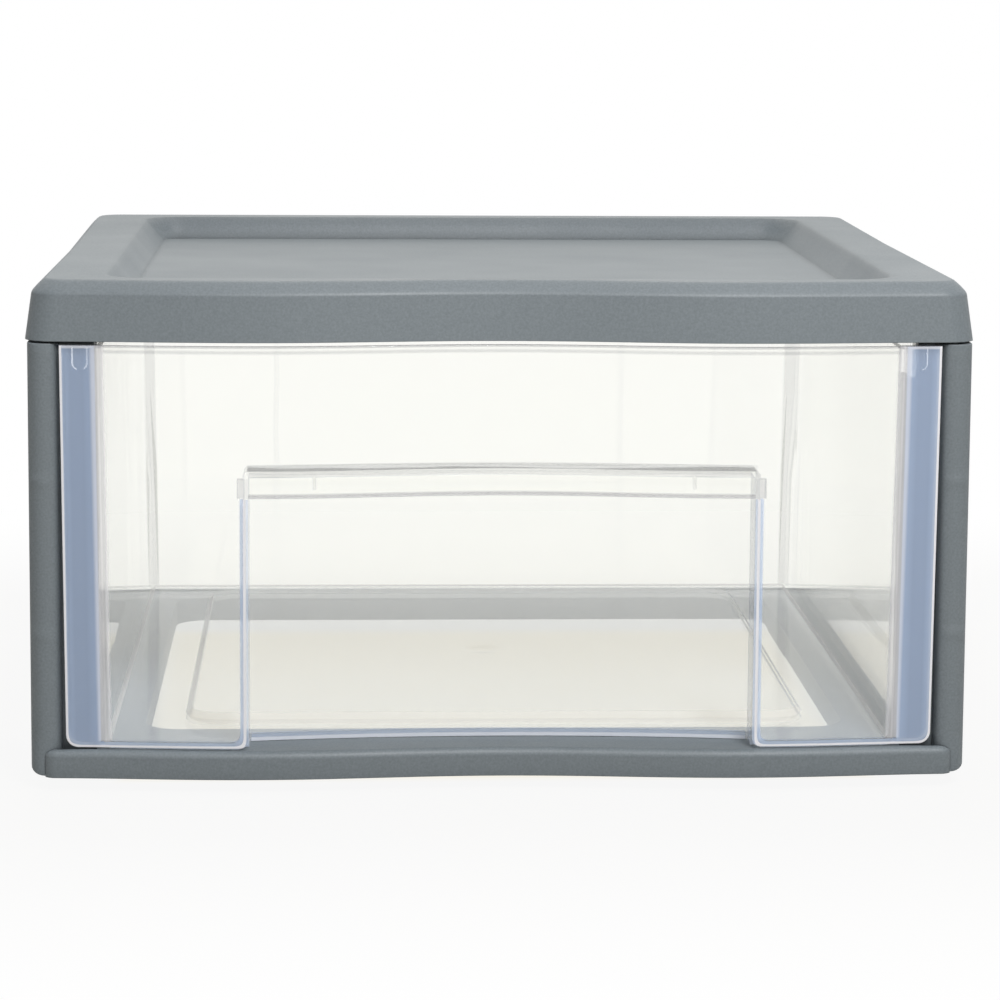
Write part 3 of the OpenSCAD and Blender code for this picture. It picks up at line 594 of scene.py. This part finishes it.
class DRAWERBOX_OT_stage(bpy.types.Operator):
    """Lays the pale table and sets up the soft studio light"""
    bl_idname = "drawerbox.stage"
    bl_label = "Set the stage"

    def execute(self, context):
        scene = context.scene
        stage = scene.drawerbox_stage
        bm = bmesh.new()
        bmesh.ops.create_circle(bm, cap_ends=True, segments=96, radius=20.0,
                                matrix=Matrix.Translation((0.0, 0.0, -0.1 * MM)))
        mesh = bpy.data.meshes.new("table_top")
        bm.to_mesh(mesh)
        bm.free()
        mesh.materials.append(pale_table(stage))
        table = bpy.data.objects.new("table_top", mesh)
        scene.collection.objects.link(table)

        world = bpy.data.worlds.new("white_room")
        world.use_nodes = True
        tree = world.node_tree
        tree.nodes.clear()
        strength = add(tree, "MapRange", {"Value": seen_directly(tree),
                                          "To Min": stage.sky_strength,
                                          "To Max": 1.0}).outputs["Result"]
        room = add(tree, "Background", {"Color": linear("#FFFFFF"), "Strength": strength})
        add(tree, "OutputWorld", {"Surface": room.outputs["Background"]})
        scene.world = world

        lamps = {
            "key_lamp": ((0.3, -1.1, 1.2), (0.0, -0.1, 0.1), 0.5, "#FFFFFF", stage.key_power),
            "top_lamp": ((0.0, 0.7, 1.35), (0.0, 0.1, 0.15), 0.9, "#FFF8EE", stage.top_power),
        }
        for name, (place, aim, size, colour, power) in lamps.items():
            data = bpy.data.lights.new(name, "AREA")
            data.size = size
            data.color = linear(colour)[:3]
            data.energy = power
            lamp = bpy.data.objects.new(name, data)
            turn = (Vector(aim) - Vector(place)).to_track_quat("-Z", "Y").to_matrix().to_4x4()
            lamp.matrix_world = Matrix.Translation(place) @ turn
            scene.collection.objects.link(lamp)

        scene.view_settings.view_transform = "Standard"
        # A line of sight passes up to eight clear walls of two faces each
        scene.cycles.transparent_max_bounces = 32
        return {"FINISHED"}


class DRAWERBOX_OT_grey_mouldings(bpy.types.Operator):
    """Finishes the top cover, the bottom frame and the two front posts"""
    bl_idname = "drawerbox.grey_mouldings"
    bl_label = "Finish the grey mouldings"

    def execute(self, context):
        material = grained_polypropylene(context.scene.drawerbox_grey)
        for node in ("top_cover", "bottom_frame", "left_front_post", "right_front_post"):
            smooth_copy(node, node + "_moulding", material, "cabinet",
                        math.radians(32))
        return {"FINISHED"}


class DRAWERBOX_OT_clear_panels(bpy.types.Operator):
    """Finishes the clear side and back panels of the cabinet"""
    bl_idname = "drawerbox.clear_panels"
    bl_label = "Finish the clear panels"

    def execute(self, context):
        finish = context.scene.drawerbox_clear
        material = clear_polypropylene("clear_polypropylene_panel", finish, finish.panel_haze)
        for node in ("left_side_panel", "right_side_panel", "back_panel"):
            smooth_copy(node, node + "_moulding", material, "cabinet",
                        math.radians(30))
        return {"FINISHED"}


class DRAWERBOX_OT_drawer(bpy.types.Operator):
    """Finishes the clear drawer with its front, finger recess and floor"""
    bl_idname = "drawerbox.drawer"
    bl_label = "Finish the drawer"

    def execute(self, context):
        finish = context.scene.drawerbox_clear
        material = clear_polypropylene("clear_polypropylene_drawer", finish, finish.drawer_haze,
                                       with_marks=True)
        smooth_copy("drawer", "drawer_moulding", material, "drawer",
                    math.radians(28))
        return {"FINISHED"}


class DRAWERBOX_PT_panel(bpy.types.Panel):
    """Lists the steps that finish the drawer box"""
    bl_idname = "DRAWERBOX_PT_panel"
    bl_label = "Stackable drawer box"
    bl_space_type = "VIEW_3D"
    bl_region_type = "UI"
    bl_category = "Drawer box"

    def draw(self, context):
        for group, names in (
                ("drawerbox_stage", ("camera", "stage")),
                ("drawerbox_grey", ("grey_mouldings",)),
                ("drawerbox_clear", ("clear_panels", "drawer"))):
            box = self.layout.box()
            settings = getattr(context.scene, group)
            for key in settings.bl_rna.properties.keys():
                if key not in ("rna_type", "name"):
                    box.prop(settings, key)
            for name in names:
                box.operator("drawerbox." + name)


CLASSES = (
    GreyFinish, ClearFinish, StageSettings,
    DRAWERBOX_OT_camera, DRAWERBOX_OT_stage, DRAWERBOX_OT_grey_mouldings,
    DRAWERBOX_OT_clear_panels, DRAWERBOX_OT_drawer, DRAWERBOX_PT_panel,
)


def register():
    for cls in CLASSES:
        bpy.utils.register_class(cls)
    bpy.types.Scene.drawerbox_grey = bpy.props.PointerProperty(type=GreyFinish)
    bpy.types.Scene.drawerbox_clear = bpy.props.PointerProperty(type=ClearFinish)
    bpy.types.Scene.drawerbox_stage = bpy.props.PointerProperty(type=StageSettings)


def unregister():
    del bpy.types.Scene.drawerbox_stage
    del bpy.types.Scene.drawerbox_clear
    del bpy.types.Scene.drawerbox_grey
    for cls in reversed(CLASSES):
        bpy.utils.unregister_class(cls)


def main():
    register()
    bpy.ops.drawerbox.camera()
    bpy.ops.drawerbox.stage()
    bpy.ops.drawerbox.grey_mouldings()
    bpy.ops.drawerbox.clear_panels()
    bpy.ops.drawerbox.drawer()


if __name__ == "__main__":
    main()
